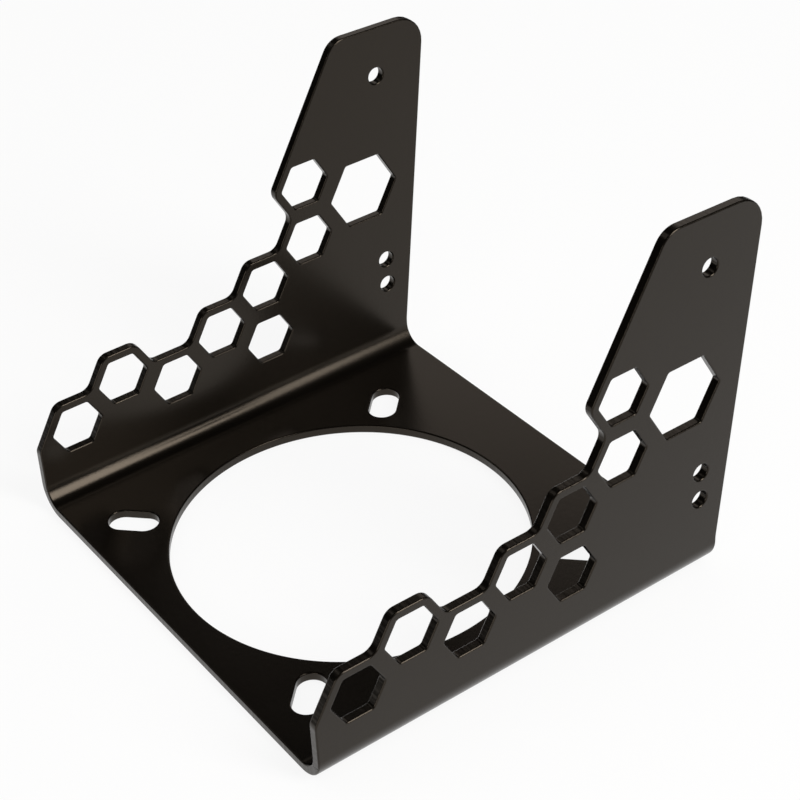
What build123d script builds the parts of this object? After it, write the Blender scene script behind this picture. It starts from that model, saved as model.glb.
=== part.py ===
from build123d import *
import math
import os

# Sheet and folds. The part is one flat blank of steel sheet, folded twice into a U.
sheet_thickness = 3.0
fold_inside_radius = 6.0
edge_break = 0.35

# Overall form. The origin is on the pilot hole's axis, at the underside of the base.
# X runs across the folds, Y along them towards the tall end of the flanges, Z up.
overall_width = 153.0
overall_height = 123.5

# Motor face: a pilot hole and four radial slots. The slots let the bolt circle vary.
pilot_diameter = 110.0
front_land = 9.2
slot_centre_beyond_pilot = 13.0
slot_travel = 7.0
slot_width = 9.0
slot_first_angle = 45.0
slot_count = 4

# Honeycomb of the flanges. Rows run along the folds, columns stand upright.
cell_pitch = 20.6
cell_web = 5.4
opening_corner_round = 1.3
last_cell_behind_front_edge = 14.0
last_cell_height = 25.3
pair_drop = 1.3
pair_shift = 1.1

# Large hexagonal opening beside the upper cells
window_width = 22.3
window_behind_first_cell = 22.5
window_below_first_cell = 10.8
window_corner_round = 1.0

# Back edge and top of the flanges. The back edge leans back from just above the fold.
back_edge_behind_first_cell = 37.2
lean_start_above_fold = 2.0
top_back_behind_first_cell = 49.5
top_fall = 0.9
top_back_round = 9.3
top_front_round = 7.1

# Corners of the flange outline. The steps of the front edge follow the cells.
step_round = 4.1
notch_round = 2.9
front_corner_round = 3.0
back_corner_round = 15.0

# Three round holes in each flange
side_hole_diameter = 5.5
side_hole_ahead_of_back_edge = 7.4
top_side_hole_below_top = 17.0
low_side_hole_height = 28.2
side_hole_spacing = 9.7

# Cells are named by column, counted forwards, and row, counted downwards.
plain_cells = [(0, 0), (0, 1), (1, 1.5), (2, 2), (1, 2.5), (3, 2.5)]
front_pair = [(4, 2), (5, 2.5)]
last_column, last_row = front_pair[-1]

# Sizes that follow from the ones above
column_step = cell_pitch * math.sqrt(3) / 2
rim_radius = cell_pitch / math.sqrt(3)
opening_radius = (cell_pitch - cell_web) / math.sqrt(3)
window_radius = window_width / math.sqrt(3)
fold_outside_radius = fold_inside_radius + sheet_thickness
side_slope = math.tan(math.radians(60))
front_margin = pilot_diameter / 2 + front_land
first_cell_behind_last = last_column * column_step + pair_shift
first_cell_behind_pilot = first_cell_behind_last + last_cell_behind_front_edge - front_margin
first_cell_height = last_cell_height + pair_drop + last_row * cell_pitch
back_margin = first_cell_behind_pilot + back_edge_behind_first_cell
lean_start = fold_outside_radius + lean_start_above_fold
top_back_behind_pilot = first_cell_behind_pilot + top_back_behind_first_cell


def cell_centre(column, row):
    """Centre of a cell as (y, z). The two front cells sit a little lower and further forward."""
    y = first_cell_behind_pilot - column * column_step
    z = first_cell_height - row * cell_pitch
    if (column, row) in front_pair:
        return y - pair_shift, z - pair_drop
    return y, z


def rim_corner(cell, turn):
    """Corner of a cell's rim, turned by whole steps of 60 degrees from the back."""
    y, z = cell_centre(*cell)
    angle = math.radians(60 * turn)
    return y + rim_radius * math.cos(angle), z + rim_radius * math.sin(angle)


def along_side(point, height):
    """Point at the given height on the 60 degree side that rises to the back through a point."""
    y, z = point
    return y + (height - z) / side_slope, height


def along_other_side(point, height):
    """Point at the given height on the 60 degree side that rises to the front through a point."""
    y, z = point
    return y - (height - z) / side_slope, height


def front_edge_top():
    """Top of the upright front edge, on the side of the front cell drawn on to the front."""
    y, z = rim_corner((5, 2.5), 2)
    return -front_margin, z - (y + front_margin) * side_slope


def flange_outline():
    """Side outline of the bracket as (y, z) points with the round of each corner."""
    step_up = along_side(rim_corner((4, 2), 2), rim_corner((5, 2.5), 2)[1])
    sixth_top = rim_corner((3, 2.5), 2)[1]
    corners = [
        ((-front_margin, 0), 0),
        ((back_margin, 0), 0),
        ((back_margin, lean_start), back_corner_round),
        ((top_back_behind_pilot, overall_height - top_fall), top_back_round),
        (along_side(rim_corner((0, 0), 3), overall_height), top_front_round),
        (rim_corner((0, 0), 3), step_round),
        (rim_corner((0, 1), 2), step_round),
        (rim_corner((0, 1), 3), step_round),
        (rim_corner((1, 1.5), 2), step_round),
        (rim_corner((2, 2), 1), step_round),
        (rim_corner((2, 2), 2), step_round),
        (along_side(rim_corner((2, 2), 2), sixth_top), step_round),
        (along_other_side(rim_corner((4, 2), 1), sixth_top), notch_round),
        (rim_corner((4, 2), 1), step_round),
        (rim_corner((4, 2), 2), step_round),
        (step_up, step_round),
        (rim_corner((5, 2.5), 2), step_round),
        (front_edge_top(), front_corner_round),
    ]
    points = [point for point, _ in corners]
    rounds = [corner_round for _, corner_round in corners]
    return make_face(FilletPolyline(*points, radius=rounds, close=True))


def folded_channel(length):
    """U section with two folds, drawn along Y by the given length about the pilot axis."""
    outer = Rectangle(overall_width, 2 * overall_height)
    outer = fillet(outer.vertices(), fold_outside_radius)
    inner = Rectangle(overall_width - 2 * sheet_thickness, 2 * (overall_height - sheet_thickness))
    inner = fillet(inner.vertices(), fold_inside_radius)
    section = Pos(0, overall_height) * (outer - inner)
    section = section - Pos(0, 2 * overall_height) * Rectangle(2 * overall_width, 2 * overall_height)
    return extrude(Plane.XZ * section, amount=length, both=True)


def through_flanges(sketch):
    """Cutter or block made by drawing a (y, z) sketch across the whole width."""
    return extrude(Plane.YZ * sketch, amount=overall_width, both=True)


def flange_openings():
    """Every opening of one flange as a (y, z) sketch."""
    opening = fillet(RegularPolygon(opening_radius, 6).vertices(), opening_corner_round)
    window = fillet(RegularPolygon(window_radius, 6).vertices(), window_corner_round)
    sketch = Sketch()
    for cell in plain_cells + front_pair:
        sketch += Pos(*cell_centre(*cell)) * opening
    first_y, first_z = cell_centre(0, 0)
    sketch += Pos(first_y + window_behind_first_cell, first_z - window_below_first_cell) * window
    side_hole_y = back_margin - side_hole_ahead_of_back_edge
    middle_side_hole_height = low_side_hole_height + side_hole_spacing
    top_side_hole_height = overall_height - top_side_hole_below_top
    for height in (top_side_hole_height, middle_side_hole_height, low_side_hole_height):
        sketch += Pos(side_hole_y, height) * Circle(side_hole_diameter / 2)
    return sketch


def motor_face_openings():
    """Pilot hole and radial slots of the base as an (x, y) sketch."""
    sketch = Sketch() + Circle(pilot_diameter / 2)
    slot = SlotCenterToCenter(slot_travel, slot_width)
    slot_centre = pilot_diameter / 2 + slot_centre_beyond_pilot
    for location in PolarLocations(slot_centre, slot_count, slot_first_angle):
        sketch += location * slot
    return sketch


def cut_edges(solid):
    """Edges where a face of the sheet meets a cut wall. They cross at about a right angle."""
    faces_of_edge = {}
    for face in solid.faces():
        for edge in face.edges():
            faces_of_edge.setdefault(edge, []).append(face)
    edges = ShapeList()
    for edge, faces in faces_of_edge.items():
        middle = edge.position_at(0.5)
        normals = [face.normal_at(middle) for face in faces]
        if len(normals) == 2 and abs(normals[0].dot(normals[1])) < 0.5:
            edges.append(edge)
    return edges


def make_bracket():
    length = max(front_margin, back_margin, top_back_behind_pilot) + top_back_round
    bracket = folded_channel(length) & through_flanges(flange_outline())
    bracket = bracket - through_flanges(flange_openings())
    bracket = bracket - extrude(motor_face_openings(), amount=2 * sheet_thickness, both=True)
    return bracket.chamfer(edge_break, None, cut_edges(bracket))


bracket = make_bracket()
print("volume mm3", bracket.volume, "faces", len(bracket.faces()), "edges", len(bracket.edges()))
os.makedirs("parts", exist_ok=True)
export_step(bracket, "parts/bracket.step")
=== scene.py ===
# %% [markdown]
# # A folded motor bracket, dressed for its photograph
# The object is one blank cut from 3 mm steel sheet, folded twice into a U and then
# powder coated in satin black. A motor's round flange bolts to the base, and the two
# tall sides, stepped along a honeycomb, fasten the bracket to a frame.
# The construction comes in as a fixed frame of exact solids. This lesson makes what the
# eye sees: the soft cut edges, the smooth folds, the coating, and then the light.

# %% Load the frame
import math

import bmesh
import bpy
import numpy as np
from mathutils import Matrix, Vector
from mathutils.geometry import delaunay_2d_cdt


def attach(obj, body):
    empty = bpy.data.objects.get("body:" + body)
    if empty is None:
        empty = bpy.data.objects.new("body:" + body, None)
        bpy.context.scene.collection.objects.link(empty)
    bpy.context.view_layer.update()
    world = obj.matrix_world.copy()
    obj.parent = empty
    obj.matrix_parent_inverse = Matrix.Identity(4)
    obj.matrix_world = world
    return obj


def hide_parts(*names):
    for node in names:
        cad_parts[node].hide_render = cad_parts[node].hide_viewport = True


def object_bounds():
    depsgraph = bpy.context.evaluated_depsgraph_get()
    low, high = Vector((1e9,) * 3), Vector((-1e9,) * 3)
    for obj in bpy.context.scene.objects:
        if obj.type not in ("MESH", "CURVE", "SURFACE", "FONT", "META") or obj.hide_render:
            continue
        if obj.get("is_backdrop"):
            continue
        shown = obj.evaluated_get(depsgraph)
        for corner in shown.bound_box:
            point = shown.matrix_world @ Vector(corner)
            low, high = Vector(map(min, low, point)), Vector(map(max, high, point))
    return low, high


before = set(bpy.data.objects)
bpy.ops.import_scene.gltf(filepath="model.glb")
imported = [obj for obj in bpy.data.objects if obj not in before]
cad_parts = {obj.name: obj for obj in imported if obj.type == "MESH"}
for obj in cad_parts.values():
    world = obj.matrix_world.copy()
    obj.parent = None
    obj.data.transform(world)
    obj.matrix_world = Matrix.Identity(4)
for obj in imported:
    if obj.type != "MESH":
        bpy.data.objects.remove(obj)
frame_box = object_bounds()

MM = 0.001
print("nodes", sorted(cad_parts), "box", [list(corner) for corner in frame_box])

# %% [markdown]
# ## Sizes
# A sheet metal part is driven by few sizes: the sheet, the folds, the holes and the grid
# of cells. They could be measured on the frame's mesh, but written down once they also
# say what each of them is. They are in metres, from the axis of the large pilot hole at
# the underside of the base. X runs across the folds, Y along them and Z is up.

# %% Sizes of the sheet and its folds
sheet_thickness = 3.0 * MM
fold_inside_radius = 6.0 * MM
overall_width = 153.0 * MM
overall_height = 123.5 * MM
edge_round = 0.5 * MM

fold_middle_radius = fold_inside_radius + sheet_thickness / 2
fold_outside_radius = fold_inside_radius + sheet_thickness
base_half = overall_width / 2 - fold_outside_radius
fold_length = fold_middle_radius * math.pi / 2
print("fold length along the middle of the sheet, mm:", round(fold_length / MM, 2))

# %% Sizes of the motor face
pilot_radius = 55.0 * MM
front_margin = 64.2 * MM
slot_centre = 68.0 * MM
slot_travel = 7.0 * MM
slot_width = 9.0 * MM
slot_angles = np.radians([45, 135, 225, 315])
print("slot from end to end, mm:", round((slot_travel + slot_width) / MM, 1))

# %% Sizes of the honeycomb sides
cell_pitch = 20.6 * MM
cell_opening = 15.2 * MM
opening_corner_round = 1.3 * MM
first_cell = np.array([40.1, 78.1]) * MM
pair_move = np.array([-1.1, -1.3]) * MM
window_width = 22.3 * MM
window_corner_round = 1.0 * MM
window_from_first_cell = np.array([22.5, -10.8]) * MM

back_margin = 77.3 * MM
lean_start = fold_outside_radius + 2.0 * MM
top_back = np.array([89.6, 122.6]) * MM
back_corner_round = 15.0 * MM
top_back_round = 9.3 * MM
top_front_round = 7.1 * MM
step_round = 4.1 * MM
notch_round = 2.9 * MM
front_corner_round = 3.0 * MM

side_hole_radius = 2.75 * MM
side_hole_y = 69.9 * MM
side_hole_heights = np.array([28.2, 37.9, 106.5]) * MM
print("web between two cells, mm:", round((cell_pitch - cell_opening) / MM, 2))

# %% [markdown]
# ## The flat blank and how it folds
# On the real part the bends come last: the sheet is cut flat and then folded in a press.
# A mesh could be bent with a modifier, but then its holes and edges follow only roughly.
# Here one function folds any point of the blank, given by its distance across the folds,
# its distance along them and its depth from the middle of the sheet. So every hole and
# edge is drawn flat and still follows the bends exactly.

# %% The fold as a function of the blank
def fold(across, depth):
    """Folds points of the blank: returns x, z and the turn of the sheet there.

    The middle of the sheet runs flat to the start of the fold, then round a quarter
    circle of the middle radius, then straight up. A depth, counted towards the outside
    of the U, moves the point along the sheet's normal. The left half mirrors the right.
    """
    side = np.where(across < 0, -1.0, 1.0)
    reach = np.abs(across)
    turn = np.clip((reach - base_half) / fold_middle_radius, 0, math.pi / 2)
    flat = np.minimum(reach - base_half, 0)
    rise = np.maximum(reach - base_half - fold_length, 0)
    x = base_half + flat + (fold_middle_radius + depth) * np.sin(turn)
    z = fold_outside_radius + rise - (fold_middle_radius + depth) * np.cos(turn)
    return side * x, z, side * turn


def place(points, depth):
    """Places blank points of shape (..., 2) at a depth of the sheet, as (..., 3)."""
    x, z, _ = fold(points[..., 0], depth)
    return np.stack([x, points[..., 1], z], axis=-1)


def directions(points):
    """Unit vectors of the folded sheet: across it, along the folds, and to the outside.

    Across is the cosine of the turn in x and its sine in z. The outside is a quarter
    turn further: the sine in x and minus the cosine in z.
    """
    _, _, turn = fold(points[..., 0], 0)
    zero = np.zeros_like(turn)
    across = np.stack([np.cos(turn), zero, np.sin(turn)], axis=-1)
    along = np.stack([zero, zero + 1, zero], axis=-1)
    outside = np.stack([np.sin(turn), zero, -np.cos(turn)], axis=-1)
    return across, along, outside


def on_side(points, side):
    """Turns (y, z) points of a tall side into points of the blank. Side is 1 or -1."""
    across = base_half + fold_length + points[..., 1] - fold_outside_radius
    return np.stack([side * across, points[..., 0]], axis=-1)


blank_half = on_side(np.array([0, overall_height]), 1)[0]
print("width of the flat blank, mm:", round(2 * blank_half / MM, 1))

# %% [markdown]
# ## Loops made of arcs
# A laser or a punch leaves this part with straight cuts that meet in small arcs, on the
# outline as well as in each opening. A curve object with a bevel could draw them, but it
# doesn't tell which way leads out of the metal. So a loop is worked out here: it keeps
# its points and, beside each point, the direction that leads out of the metal. The arcs
# give both exactly, and the straight stretches need no points of their own.

# %% Arcs and rounded corners
corner_points = 9


def arcs(centres, radii, starts, sweeps, count):
    """Points and outward directions on arcs, all of one count, as arrays (arcs, count, 2).

    A point is the centre plus the radius times cosine and sine of an angle that runs
    from the start through the sweep. With the metal on the left of the path, a turn to
    the left bulges out of the metal and a turn to the right bulges into it.
    """
    angles = starts[:, None] + sweeps[:, None] * np.linspace(0, 1, count)
    rays = np.stack([np.cos(angles), np.sin(angles)], axis=-1)
    points = centres[:, None] + radii[:, None, None] * rays
    return points, rays * np.sign(sweeps)[:, None, None]


def rounded_corners(corners, rounds):
    """Arcs that round the corners of a closed polygon, as arcs() gives them.

    The arc of a corner starts before it by the radius times the tangent of half the
    turn, and its centre lies beside that start, on the side to which the path turns.
    """
    before = corners - np.roll(corners, 1, axis=0)
    before /= np.linalg.norm(before, axis=1, keepdims=True)
    after = np.roll(before, -1, axis=0)
    cross = before[:, 0] * after[:, 1] - before[:, 1] * after[:, 0]
    sweeps = np.arctan2(cross, (before * after).sum(axis=1))
    left = np.stack([-before[:, 1], before[:, 0]], axis=1)
    hand = np.sign(sweeps)
    starts = corners - before * (rounds * np.tan(np.abs(sweeps) / 2))[:, None]
    centres = starts + left * (rounds * hand)[:, None]
    angles = np.arctan2(-left[:, 1] * hand, -left[:, 0] * hand)
    return arcs(centres, rounds, angles, sweeps, corner_points)


def joined(arc_pair):
    """One closed loop from arcs: points and outward directions as (n, 2) arrays."""
    points, outward = arc_pair
    return points.reshape(-1, 2), outward.reshape(-1, 2)


# %% Openings: cells, round holes and slots
pilot_points = 192
side_hole_points = 40
slot_end_points = 33


def hexagon(centre, width, corner_round):
    """Hexagonal opening with two upright corners left and right, walked clockwise."""
    angles = -np.arange(6) * math.pi / 3
    ring = np.stack([np.cos(angles), np.sin(angles)], axis=1)
    corners = centre + width / math.sqrt(3) * ring
    return joined(rounded_corners(corners, np.full(6, corner_round)))


def circle(centre, radius, count):
    """Round opening, walked clockwise: the centre plus the radius times a unit ring."""
    angles = -np.arange(count) * 2 * math.pi / count
    ring = np.stack([np.cos(angles), np.sin(angles)], axis=1)
    return centre + radius * ring, -ring


def slot(angle):
    """Radial slot of the base: two half circles, walked clockwise."""
    ray = np.array([math.cos(angle), math.sin(angle)])
    ends = np.array([slot_centre + slot_travel / 2, slot_centre - slot_travel / 2])
    starts = angle + np.array([math.pi / 2, -math.pi / 2])
    sizes = np.full(2, slot_width / 2)
    sweeps = np.full(2, -math.pi)
    return joined(arcs(ends[:, None] * ray, sizes, starts, sweeps, slot_end_points))


print("points: cell", 6 * corner_points, "slot", 2 * slot_end_points, "pilot", pilot_points)

# %% [markdown]
# ## The honeycomb
# The sides are lightened by hexagonal openings, and their front edge is stepped along
# the same cells. An array modifier could repeat one cell, but the steps would then have
# to be fitted to it by eye. Here cells and steps come from one hexagonal grid: a corner
# of the edge is a corner of a cell's rim. Only the two front cells are nudged a little
# down and forwards, as on the real part.

# %% Cells of the grid
column_step = cell_pitch * math.sqrt(3) / 2
side_slope = math.tan(math.radians(60))
plain_cells = [(0, 0), (0, 1), (1, 1.5), (2, 2), (1, 2.5), (3, 2.5)]
front_pair = [(4, 2), (5, 2.5)]


def cell_centre(cell):
    """Centre of a cell, named by column towards the front and row downwards, as (y, z)."""
    column, row = cell
    centre = first_cell - np.array([column * column_step, row * cell_pitch])
    return centre + pair_move if cell in front_pair else centre


def rim_corner(cell, turn):
    """Corner of a cell's rim, turned by whole steps of 60 degrees from the back."""
    angle = math.radians(60 * turn)
    ray = np.array([math.cos(angle), math.sin(angle)])
    return cell_centre(cell) + cell_pitch / math.sqrt(3) * ray


def along_slant(point, height, lean):
    """Point at a height on the 60 degree line through a point. Lean is 1 to the back."""
    return np.array([point[0] + lean * (height - point[1]) / side_slope, height])


print("cells of one side:", len(plain_cells + front_pair))

# %% Corners of the stepped outline
last_corner = rim_corner((5, 2.5), 2)
front_top = last_corner[1] - (last_corner[0] + front_margin) * side_slope
sixth_top = rim_corner((3, 2.5), 2)[1]
outline_corners = [
    (np.array([back_margin, lean_start]), back_corner_round),
    (top_back, top_back_round),
    (along_slant(rim_corner((0, 0), 3), overall_height, 1), top_front_round),
    (rim_corner((0, 0), 3), step_round),
    (rim_corner((0, 1), 2), step_round),
    (rim_corner((0, 1), 3), step_round),
    (rim_corner((1, 1.5), 2), step_round),
    (rim_corner((2, 2), 1), step_round),
    (rim_corner((2, 2), 2), step_round),
    (along_slant(rim_corner((2, 2), 2), sixth_top, 1), step_round),
    (along_slant(rim_corner((4, 2), 1), sixth_top, -1), notch_round),
    (rim_corner((4, 2), 1), step_round),
    (rim_corner((4, 2), 2), step_round),
    (along_slant(rim_corner((4, 2), 2), last_corner[1], 1), step_round),
    (last_corner, step_round),
    (np.array([-front_margin, front_top]), front_corner_round),
]
print("corners of one stepped side:", len(outline_corners))

# %% [markdown]
# ## The outline of the whole blank
# Base and sides are one piece of sheet, so they have one outline. It could be joined
# from separate panels, but each seam would show in the gloss. Here the path crosses the
# base along the front edge, climbs one side, comes back across the base and climbs the
# other side. The straight front and back edges get a few points where they cross the
# folds, because there a straight line of the blank becomes a curve.

# %% The outline
fold_steps = 14
no_round = 0.001 * MM
crossings = base_half + fold_length * np.arange(fold_steps + 1) / fold_steps
mirror = np.array([-1, 1])


def outline():
    """Closed outline of the blank with the metal on its left.

    The left side is the rounded polygon of its corners. The two ends on the base only
    give its first and last corner their straight neighbours. The right side is the left
    one mirrored and walked the other way.
    """
    shape = np.array([corner for corner, _ in outline_corners])
    rounds = np.array([corner_round for _, corner_round in outline_corners])
    ends = np.array([[-front_margin, 0], [back_margin, 0]])
    corners = np.concatenate([shape, ends])
    sizes = np.concatenate([rounds, [no_round, no_round]])
    points, outward = rounded_corners(on_side(corners, -1), sizes)
    left = points[:len(shape)].reshape(-1, 2)
    left_out = outward[:len(shape)].reshape(-1, 2)
    right = left[::-1] * mirror
    right_out = left_out[::-1] * mirror
    across = np.concatenate([-crossings[::-1], crossings])
    front = np.stack([across, np.full(across.size, -front_margin)], axis=1)
    back = np.stack([across[::-1], np.full(across.size, back_margin)], axis=1)
    front_out = np.tile([0.0, -1.0], (across.size, 1))
    loop = np.concatenate([front, right, back, left])
    loop_out = np.concatenate([front_out, right_out, -front_out, left_out])
    return loop, loop_out


def side_openings():
    """Openings of one side as (y, z) loops: the cells, the window and three holes."""
    centres = [cell_centre(cell) for cell in plain_cells + front_pair]
    found = [hexagon(centre, cell_opening, opening_corner_round) for centre in centres]
    window_centre = first_cell + window_from_first_cell
    found.append(hexagon(window_centre, window_width, window_corner_round))
    holes = [np.array([side_hole_y, height]) for height in side_hole_heights]
    return found + [circle(hole, side_hole_radius, side_hole_points) for hole in holes]


def loops():
    """Every loop of the blank: the outline first, then all the openings."""
    found = [outline(), circle(np.zeros(2), pilot_radius, pilot_points)]
    found += [slot(angle) for angle in slot_angles]
    for side in (1, -1):
        for points, outward in side_openings():
            points = on_side(points, side)
            outward = outward[:, ::-1] * np.array([side, 1])
            found.append((points[::-side], outward[::-side]))
    return found


blank = loops()
print("loops:", len(blank), "points:", sum(len(points) for points, _ in blank))

# %% [markdown]
# ## The cut edge, carried round every loop
# Cutting leaves a sharp corner on both faces of the sheet. The coating flows over it
# and sets as a small round, which catches the light as a fine line in every opening.
# A bevel modifier could make it, but it shades badly on long thin faces. So the wall of
# a cut is a profile, which is a quarter circle, the flat wall and a second quarter
# circle, and it is carried round each loop as one grid of points.

# %% The edge profile and the grid that it makes
round_steps = 5
half_wall = sheet_thickness / 2 - edge_round
quarter = np.linspace(math.pi / 2, 0, round_steps + 1)
turns = np.concatenate([quarter, -quarter[::-1]])
inset = edge_round * (1 - np.cos(turns))
depth = np.sign(turns) * half_wall + edge_round * np.sin(turns)
depth[round_steps:round_steps + 2] = half_wall, -half_wall
stations = turns.size


def rim(points, outward):
    """Grid of the edge profile along a loop: positions and normals, (n, stations, 3).

    Each station moves the loop into the metal by its inset and to its depth. Its normal
    is the cosine of its turn times the way out of the metal, plus the sine of its turn
    times the way to the outside of the U.
    """
    across, along, outside = directions(points)
    out = outward[:, :1] * across + outward[:, 1:] * along
    moved = points[:, None] - inset[None, :, None] * outward[:, None]
    positions = place(moved, depth[None, :])
    wave = np.cos(turns)[None, :, None]
    normals = wave * out[:, None] + np.sin(turns)[None, :, None] * outside[:, None]
    return positions, normals


def rim_faces(count, first):
    """Quads of one closed rim of so many loop points, from its first vertex number.

    A quad joins a station and the next one on a point of the loop and on its neighbour.
    """
    point = np.arange(count)[:, None]
    station = np.arange(stations - 1)[None, :]
    here = first + point * stations + station
    there = first + (point + 1) % count * stations + station
    return np.stack([here, there, there + 1, here + 1], axis=-1).reshape(-1, 4)


print("stations of the edge profile:", stations)

# %% [markdown]
# ## The two faces of the sheet
# Between the rims the sheet has an outer and an inner face, and both have the same flat
# layout. They could be one many-sided face with holes, but that has no use for the
# bends. A constrained Delaunay triangulation keeps every loop as an edge, and also
# straight lines across each fold, so that the bent strips stay true curves. It fills
# the openings too, so triangles whose centre lies in an opening are dropped.

# %% Which points lie in the metal
def inside(points, rings):
    """True where a point lies in the metal: an odd number of ring edges is crossed on
    the way from the point to the far right."""
    odd = np.zeros(len(points), bool)
    for ring in rings:
        start, end = ring, np.roll(ring, -1, axis=0)
        start_above = start[None, :, 1] > points[:, None, 1]
        end_above = end[None, :, 1] > points[:, None, 1]
        rise = np.where(end[:, 1] == start[:, 1], 1.0, end[:, 1] - start[:, 1])
        share = (points[:, None, 1] - start[None, :, 1]) / rise
        meets = start[None, :, 0] + share * (end[:, 0] - start[:, 0])[None, :]
        crossed = (start_above != end_above) & (meets > points[:, None, 0])
        odd ^= crossed.sum(axis=1) % 2 == 1
    return odd


print("pilot's centre and its front land in the metal:",
      inside(np.array([[0, 0], [0, -60]]) * MM, [points for points, _ in blank]))

# %% Fill the blank
same_point = 1e-6


def fill(rings, lines):
    """Triangles between closed rings of blank points, as numbers of the joined points."""
    points = np.concatenate(rings)
    firsts = np.cumsum([0] + [len(ring) for ring in rings])
    edges = []
    for first, ring in zip(firsts, rings):
        number = np.arange(len(ring))
        edges.append(np.stack([number, (number + 1) % len(ring)], axis=1) + first)
    edges = np.concatenate(edges + [lines])
    flat = (points / MM).tolist()
    made = delaunay_2d_cdt(flat, edges.tolist(), [], 0, same_point, True)
    print("fill: points in", len(points), "out", len(made[0]), "triangles", len(made[2]))
    numbers = np.array(made[3]).ravel()
    triangles = numbers[np.array(made[2])]
    return triangles[inside(points[triangles].mean(axis=1), rings)]


rings = [points - edge_round * outward for points, outward in blank]
fold_line = np.arange(2 * crossings.size)
back_first = 2 * crossings.size + len(outline_corners) * corner_points
fold_lines = np.stack([fold_line, back_first + fold_line[::-1]], axis=1)
triangles = fill(rings, fold_lines)
print("triangles of one face:", len(triangles))

# %% [markdown]
# ## One closed skin
# The coating covers the sheet without a gap. Rims and faces could stay separate
# objects, but then a seam of light shows between them. Here they share their vertices,
# so the skin is watertight. Each vertex also gets the true normal of the form that it
# lies on, which the formulas know exactly, so shading follows the real rounds and folds
# and not the triangles.

# %% Build the skin
def build_skin():
    """Joins all rims and both faces into one mesh with its true normals."""
    grids = [rim(points, outward) for points, outward in blank]
    positions = np.concatenate([grid[0].reshape(-1, 3) for grid in grids])
    normals = np.concatenate([grid[1].reshape(-1, 3) for grid in grids])
    counts = np.array([len(points) for points, _ in blank])
    firsts = np.concatenate([[0], np.cumsum(counts)[:-1]]) * stations
    quads = np.concatenate([rim_faces(n, first) for n, first in zip(counts, firsts)])
    outer = triangles[:, ::-1] * stations
    inner = triangles * stations + stations - 1
    faces = quads.tolist() + outer.tolist() + inner.tolist()
    mesh = bpy.data.meshes.new("bracket_skin")
    mesh.from_pydata(positions.tolist(), [], faces)
    wall = np.tile(np.cos(turns) ** 2, counts.sum())
    layer = mesh.attributes.new("cut_wall", "FLOAT", "POINT")
    layer.data.foreach_set("value", wall.astype(np.float32))
    mesh.shade_smooth()
    mesh.update()
    print("faces", len(mesh.polygons), "facing out", facing_out(mesh, normals))
    mesh.normals_split_custom_set_from_vertices(normals.tolist())
    skin = bpy.data.objects.new("bracket_skin", mesh)
    bpy.context.scene.collection.objects.link(skin)
    return skin


def facing_out(mesh, normals):
    """Number of faces whose own normal agrees with the true normal at a corner."""
    facing = np.zeros(len(mesh.polygons) * 3)
    mesh.polygons.foreach_get("normal", facing)
    corner = np.zeros(len(mesh.polygons), int)
    mesh.polygons.foreach_get("loop_start", corner)
    used = np.zeros(len(mesh.loops), int)
    mesh.loops.foreach_get("vertex_index", used)
    agree = (facing.reshape(-1, 3) * normals[used[corner]]).sum(axis=1)
    return int((agree > 0).sum())


bracket_skin = build_skin()
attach(bracket_skin, "root")
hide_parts("bracket")

# %% Check that the skin is closed
check = bmesh.new()
check.from_mesh(bracket_skin.data)
print("open edges:", sum(1 for edge in check.edges if len(edge.link_faces) != 2))
print("volume of the skin, cm3:", round(check.calc_volume() * 1e6, 2))
check.free()

# %% [markdown]
# ## A small language for shader maths
# A finish is a sum of small formulas. They could be wired up node by node, but then the
# formula can't be read any more. Wrapping a socket in a class lets the formulas be
# written as Python expressions, and each operator then adds one Math node.

# %% Sockets with operators
class Wire:
    """A socket of a node tree that can be added, multiplied and compared."""

    def __init__(self, tree, socket):
        self.tree = tree
        self.socket = socket

    def node(self, kind, settings=None, output=0, **inputs):
        """Adds a node: its settings first, then values or links by socket name, or by
        the letter i and the socket's number."""
        made = self.tree.nodes.new(kind)
        for name, value in (settings or {}).items():
            setattr(made, name, value)
        for name, value in inputs.items():
            key = int(name[1:]) if name[1:].isdigit() else name.replace("_", " ")
            if isinstance(value, Wire):
                self.tree.links.new(value.socket, made.inputs[key])
            else:
                made.inputs[key].default_value = value
        return Wire(self.tree, made.outputs[output])

    def out(self, name):
        """Another output of the same node."""
        return Wire(self.tree, self.socket.node.outputs[name])

    def math(self, operation, first, second=0.0, clamp=False):
        settings = {"operation": operation, "use_clamp": clamp}
        return self.node("ShaderNodeMath", settings, i0=first, i1=second)

    def __add__(self, other):
        return self.math("ADD", self, other)

    __radd__ = __add__

    def __mul__(self, other):
        return self.math("MULTIPLY", self, other)

    __rmul__ = __mul__

    def __sub__(self, other):
        return self.math("SUBTRACT", self, other)

    def __rsub__(self, other):
        return self.math("SUBTRACT", other, self)

    def between(self, low, high):
        """0 below low, 1 above high, and a straight rise between."""
        return self.math("MULTIPLY", self - low, 1 / (high - low), clamp=True)

    def blend(self, first, second):
        """Colour that runs from first to second as this value goes from 0 to 1."""
        colours = {"i6": (*first, 1), "i7": (*second, 1)}
        return self.node("ShaderNodeMix", {"data_type": "RGBA"}, 2, i0=self, **colours)


def new_material(name):
    """Empty material: the material, its tree, its shader and its Object coordinates."""
    material = bpy.data.materials.new(name)
    material.use_nodes = True
    tree = material.node_tree
    shader = tree.nodes["Principled BSDF"]
    coordinates = tree.nodes.new("ShaderNodeTexCoord")
    return material, tree, shader, Wire(tree, coordinates.outputs["Object"])


def noise(point, size, detail=2.0):
    """Noise whose features are about the given size, as a value around 0.5."""
    return point.node("ShaderNodeTexNoise", Vector=point, Scale=1 / size, Detail=detail)


print("operators:", [name for name in ("add", "mul", "sub") if hasattr(Wire, f"__{name}__")])

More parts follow.
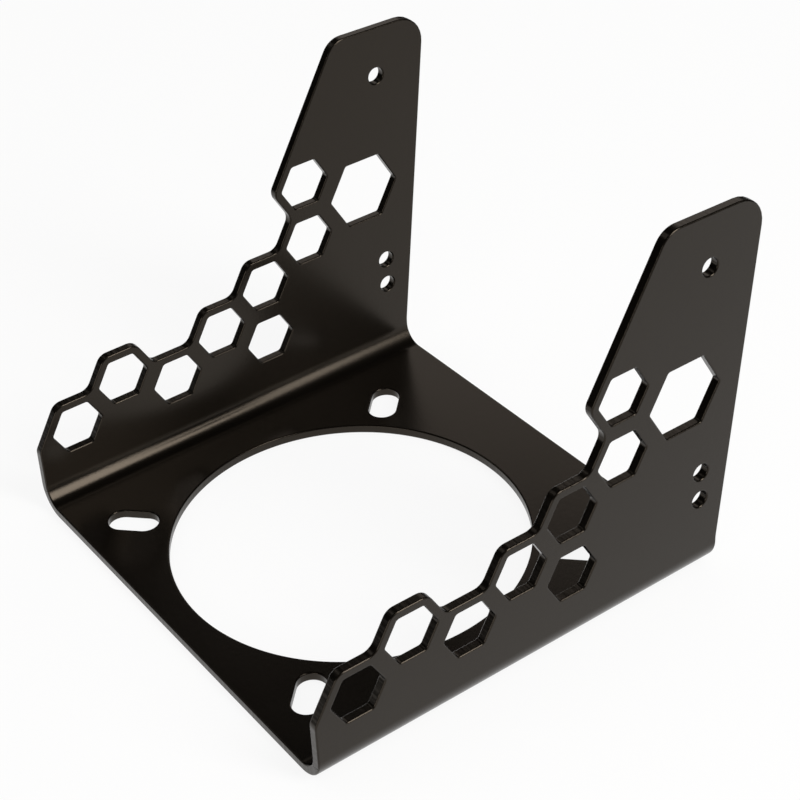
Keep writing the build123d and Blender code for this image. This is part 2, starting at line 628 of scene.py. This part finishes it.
# %% [markdown]
# ## Satin black powder coating
# Powder is sprayed on dry and melts in an oven. It sets slightly wavy, like the skin of
# an orange, with a fine grain on top, and that breaks up reflections far more than
# colour does. A photographed texture could show it, but it would also hold the light of
# its own room. Noise on the object's own coordinates gives the same waves under any
# light. The colour is a warm near black, so almost all that the eye reads is gloss.

# %% Sizes and colours of the coating
coating_dark = (0.0018, 0.0014, 0.0010)
coating_light = (0.0026, 0.0021, 0.0016)
cloud_size = 45 * MM
cloud_low, cloud_high = 0.35, 0.65
gloss_tint = (1.0, 0.84, 0.67, 1.0)
coating_ior = 1.4
coating_roughness = 0.24
roughness_spread = 0.04
peel_size = 1.6 * MM
peel_height = 0.012 * MM
grain_size = 0.35 * MM
grain_height = 0.003 * MM
print("waves per cm:", round(10 * MM / peel_size, 1))

# %% [markdown]
# ## Ridges on the cut walls
# The cutting beam leaves fine upright ridges on every cut wall, and the coating doesn't
# hide them all. They could be modelled, but they are only a few hundredths of a
# millimetre high, so bump is enough. The noise is read without the coordinate that runs
# through the sheet, which draws it out into lines from face to face. The mesh's own
# attribute, 1 on the flat wall and 0 on the faces, keeps them off the rest.

# %% The coating
ridge_size = 1.3 * MM
ridge_height = 0.07 * MM
base_top = 6.0 * MM


def wall_ridges(point):
    """Noise in the plane of the sheet, times the mesh's cut_wall attribute.

    On the base the plane is x and y, on the sides above it y and z.
    """
    split = point.node("ShaderNodeSeparateXYZ", i0=point)
    x, y, z = split.out("X"), split.out("Y"), split.out("Z")
    on_side_wall = z.between(base_top, base_top + MM)
    in_plane = point.node(
        "ShaderNodeCombineXYZ", X=x * (1 - on_side_wall), Y=y, Z=z * on_side_wall
    )
    cut_wall = point.node("ShaderNodeAttribute", {"attribute_name": "cut_wall"}).out("Fac")
    return noise(in_plane, ridge_size, 1.0) * cut_wall


def make_coating():
    material, tree, shader, point = new_material("satin_black_coating")
    cloud = noise(point, cloud_size)
    peel = noise(point, peel_size, 1.0)
    grain = noise(point, grain_size)
    colour = cloud.between(cloud_low, cloud_high).blend(coating_dark, coating_light)
    uneven = (cloud - 0.5) * (2 * roughness_spread) + (grain - 0.5) * roughness_spread
    height = peel * (peel_height / MM) + grain * (grain_height / MM)
    height = height + wall_ridges(point) * (ridge_height / MM)
    bump = height.node("ShaderNodeBump", Strength=1.0, Distance=MM, Height=height)
    tree.links.new(colour.socket, shader.inputs["Base Color"])
    tree.links.new((uneven + coating_roughness).socket, shader.inputs["Roughness"])
    tree.links.new(bump.socket, shader.inputs["Normal"])
    shader.inputs["IOR"].default_value = coating_ior
    shader.inputs["Specular Tint"].default_value = gloss_tint
    return material


bracket_skin.data.materials.append(make_coating())
print("materials", [slot_in.name for slot_in in bracket_skin.data.materials])

# %% [markdown]
# ## Table
# The bracket stands on a pale table that runs out to white. A white floor could be lit
# until it is white, but that floods the object too. So the camera sees most of the
# table's white as the table's own, and the rest is real light, which keeps the soft
# shadow. A black part is read by what it mirrors: in its gloss the table shows a painted
# pool of light, its own glow seen only in reflections, round the bracket that fades into
# the dark room, and that shades the tall sides.

# %% Table
table_half = 6.0
table_white = 0.9
table_roughness = 0.8
table_gloss = 0.1
table_gap = 0.02 * MM
own_white_share = 0.88
# Painted pool of light on the table, seen only in the gloss: full glow out to the core and
# none past the edge, in metres from its centre.
painted_pool_centre = (0.05, 0.05, 0.0)
painted_pool_core = 0.30
painted_pool_edge = 0.90


def ray_kinds(wire):
    """How the surface is looked at: 1 for the camera or through glass, and 1 for gloss."""
    path = wire.node("ShaderNodeLightPath")
    camera = path.out("Is Camera Ray")
    glass = path.out("Is Transmission Ray")
    return wire.math("ADD", camera, glass, clamp=True), path.out("Is Glossy Ray")


def table_material():
    material, tree, shader, point = new_material("pale_table")
    shader.inputs["Base Color"].default_value = (table_white, table_white, table_white, 1)
    shader.inputs["Roughness"].default_value = table_roughness
    shader.inputs["Specular IOR Level"].default_value = table_gloss
    distance = {"operation": "DISTANCE"}
    away = point.node("ShaderNodeVectorMath", distance, 1, i0=point, i1=painted_pool_centre)
    camera, gloss = ray_kinds(point)
    # Painted pool of light: glossy rays see the table glow fully near the bracket and fading
    # away from it.
    strength = camera + gloss * (1 - away.between(painted_pool_core, painted_pool_edge))
    own = point.node("ShaderNodeEmission", Color=(1, 1, 1, 1), Strength=strength)
    mix = tree.nodes.new("ShaderNodeMixShader")
    tree.links.new((camera * own_white_share + gloss).socket, mix.inputs[0])
    tree.links.new(shader.outputs[0], mix.inputs[1])
    tree.links.new(own.socket, mix.inputs[2])
    tree.links.new(mix.outputs[0], tree.nodes["Material Output"].inputs[0])
    return material


def make_table():
    """Square table a hair below the underside of the base."""
    corners = np.array([[-1, -1], [1, -1], [1, 1], [-1, 1]]) * table_half
    drop = np.full((4, 1), frame_box[0].z - table_gap)
    mesh = bpy.data.meshes.new("table")
    mesh.from_pydata(np.concatenate([corners, drop], axis=1).tolist(), [], [[0, 1, 2, 3]])
    mesh.materials.append(table_material())
    made = bpy.data.objects.new("table", mesh)
    bpy.context.scene.collection.objects.link(made)
    return made


table = make_table()
table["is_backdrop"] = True
print("table, m across:", 2 * table_half)

# %% [markdown]
# ## World
# The camera sees a white backdrop. The object itself gets an even grey light, which
# fills its shadow on the table. A photographer hides the bright walls of the studio with
# dark cloth, because a glossy black part would mirror them as fog. The same is done here
# with one number: the gloss sees a nearly dark room.

# %% World
ambient = 0.5
studio_dark = 0.02


def make_world():
    """White for the camera, the ambient grey for the object, and dark for its gloss."""
    world = bpy.data.worlds.new("studio")
    world.use_nodes = True
    bpy.context.scene.world = world
    tree = world.node_tree
    light = tree.nodes["Background"]
    light.inputs["Color"].default_value = (1, 1, 1, 1)
    camera, gloss = ray_kinds(Wire(tree, light.outputs[0]))
    strength = ambient + camera * (1 - ambient) + gloss * (studio_dark - ambient)
    tree.links.new(strength.socket, light.inputs["Strength"])
    return world


print("world", make_world().name, "ambient", ambient)

# %% [markdown]
# ## Lamps
# Each bright line on a glossy part is the mirror image of a lamp. Strong even light
# could show the shape as well, but it would turn the satin black grey. Four soft boxes
# draw the photograph's lines: a tall oval one on the right makes the pale band along the
# left fold, a low one beside the camera the fine lines on the rims, a wide one behind
# the left side lifts the back of the base, and a small one fills the front.

# %% Lamps
target = Vector((0, 0.01, 0.05))
white = (1.0, 1.0, 1.0)
warm = (1.0, 0.98, 0.95)
warmer = (1.0, 0.92, 0.85)


def soft_box(name, shape, bearing, elevation, distance, size, power, colour):
    """Area lamp that looks at the bracket. Bearing is in degrees from +Y to +X."""
    a, e = math.radians(bearing), math.radians(elevation)
    way = Vector((math.sin(a) * math.cos(e), math.cos(a) * math.cos(e), math.sin(e)))
    lamp = bpy.data.lights.new(name, "AREA")
    lamp.shape = shape
    lamp.size, lamp.size_y = size
    lamp.energy = power
    lamp.color = colour
    made = bpy.data.objects.new(name, lamp)
    made.location = target + way * distance
    made.rotation_euler = (-way).to_track_quat("-Z", "Y").to_euler()
    bpy.context.scene.collection.objects.link(made)
    return made


soft_boxes = [
    soft_box("side_box", "ELLIPSE", 68, 32, 1.2, (0.44, 1.25), 13.0, warm),
    soft_box("near_box", "RECTANGLE", 150, 9, 1.6, (1.0, 0.45), 5.0, warm),
    soft_box("back_box", "RECTANGLE", -43, 29, 1.6, (1.1, 0.6), 1.7, warmer),
    soft_box("front_box", "RECTANGLE", -113, 46, 1.4, (0.35, 0.35), 0.4, white),
]
print("lamps, W:", {made.name: round(made.data.energy, 1) for made in soft_boxes})

# %% [markdown]
# ## Camera
# The photograph was taken from the front right, looking down. It shows only a part of
# the full frame, off its middle. The camera could be turned to centre that part, but
# this would change the perspective, so the lens is shifted instead.

# %% Camera
camera_place = Vector((0.39581, -0.25464, 0.39323))
camera_turn = (math.radians(57.2671), math.radians(3.6727), math.radians(55.0746))
sensor_width = 36
lens_length = 90.08
lens_shift = (0.0921, -0.1382)


def make_camera():
    lens = bpy.data.cameras.new("photo_camera")
    lens.sensor_width = sensor_width
    lens.lens = lens_length
    lens.shift_x, lens.shift_y = lens_shift
    made = bpy.data.objects.new("photo_camera", lens)
    made.location = camera_place
    made.rotation_euler = camera_turn
    bpy.context.scene.collection.objects.link(made)
    bpy.context.scene.camera = made
    return made


camera = make_camera()
bpy.context.scene.view_settings.view_transform = "Standard"
print("camera, m from the pilot's axis:", round(camera.location.length, 3))

# %% [markdown]
# ## Close
# The visual model may not outgrow the construction, because other parts are fitted to
# that. So the box of the frame and the box of the skin are written down side by side.

# %% Sizes and close
skin_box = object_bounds()
for name, corners in (("frame", frame_box), ("skin", skin_box)):
    print(name, [[round(v / MM, 2) for v in corner] for corner in corners])
